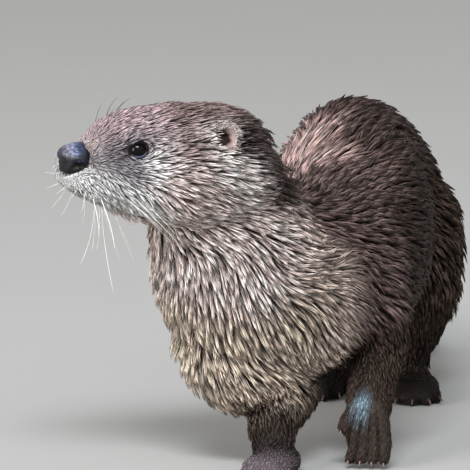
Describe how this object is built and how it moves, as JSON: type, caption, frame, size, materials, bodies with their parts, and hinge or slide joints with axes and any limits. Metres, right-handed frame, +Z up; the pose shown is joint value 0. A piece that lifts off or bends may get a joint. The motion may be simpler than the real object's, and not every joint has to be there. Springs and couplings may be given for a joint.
{
  "type": "river otter",
  "caption": "Life-size river otter standing on four feet with its head turned to its right, back arched and tail laid on the floor.",
  "frame": {"origin": "centre of the outline's box, on the floor that the feet and the tail rest on", "axes": "+Z up, the otter faces -Y with its left side towards +X, and the tail lies towards +Y"},
  "size_m": [0.1944, 0.8459, 0.2332],
  "materials": {
    "coat_fur": "dark brown guard hair in damp pointed clumps",
    "throat_fur": "pale buff throat fur in damp pointed clumps",
    "leg_fur": "short near-black fur with a wet sheen",
    "nose_leather": "blue-black grained nose leather",
    "eye": "glossy dark brown eye",
    "ear_skin": "short-haired ear skin with a pale rim",
    "claw": "translucent pinkish horn"
  },
  "bodies": {
    "root": {"chest": "coat_fur", "claw_fore_left_1": "claw", "claw_fore_left_2": "claw", "claw_fore_left_3": "claw", "claw_fore_left_4": "claw", "claw_fore_left_5": "claw", "claw_fore_right_1": "claw", "claw_fore_right_2": "claw", "claw_fore_right_3": "claw", "claw_fore_right_4": "claw", "claw_fore_right_5": "claw", "claw_hind_left_1": "claw", "claw_hind_left_2": "claw", "claw_hind_left_3": "claw", "claw_hind_left_4": "claw", "claw_hind_left_5": "claw", "claw_hind_right_1": "claw", "claw_hind_right_2": "claw", "claw_hind_right_3": "claw", "claw_hind_right_4": "claw", "claw_hind_right_5": "claw", "ear_left": "ear_skin", "ear_right": "ear_skin", "eye_left": "eye", "eye_right": "eye", "forefoot_left": "leg_fur", "forefoot_right": "leg_fur", "foreleg_left_lower": "leg_fur", "foreleg_left_upper": "leg_fur", "foreleg_right_lower": "leg_fur", "foreleg_right_upper": "leg_fur", "head": "coat_fur", "hindfoot_left": "leg_fur", "hindfoot_right": "leg_fur", "hindleg_left_shank": "leg_fur", "hindleg_left_thigh": "leg_fur", "hindleg_right_shank": "leg_fur", "hindleg_right_thigh": "leg_fur", "lower_jaw": "throat_fur", "neck": "throat_fur", "nose": "nose_leather", "rump": "coat_fur", "tail_base": "coat_fur", "tail_middle": "coat_fur", "tail_tip": "coat_fur", "trunk": "coat_fur"}
  },
  "joints": []
}
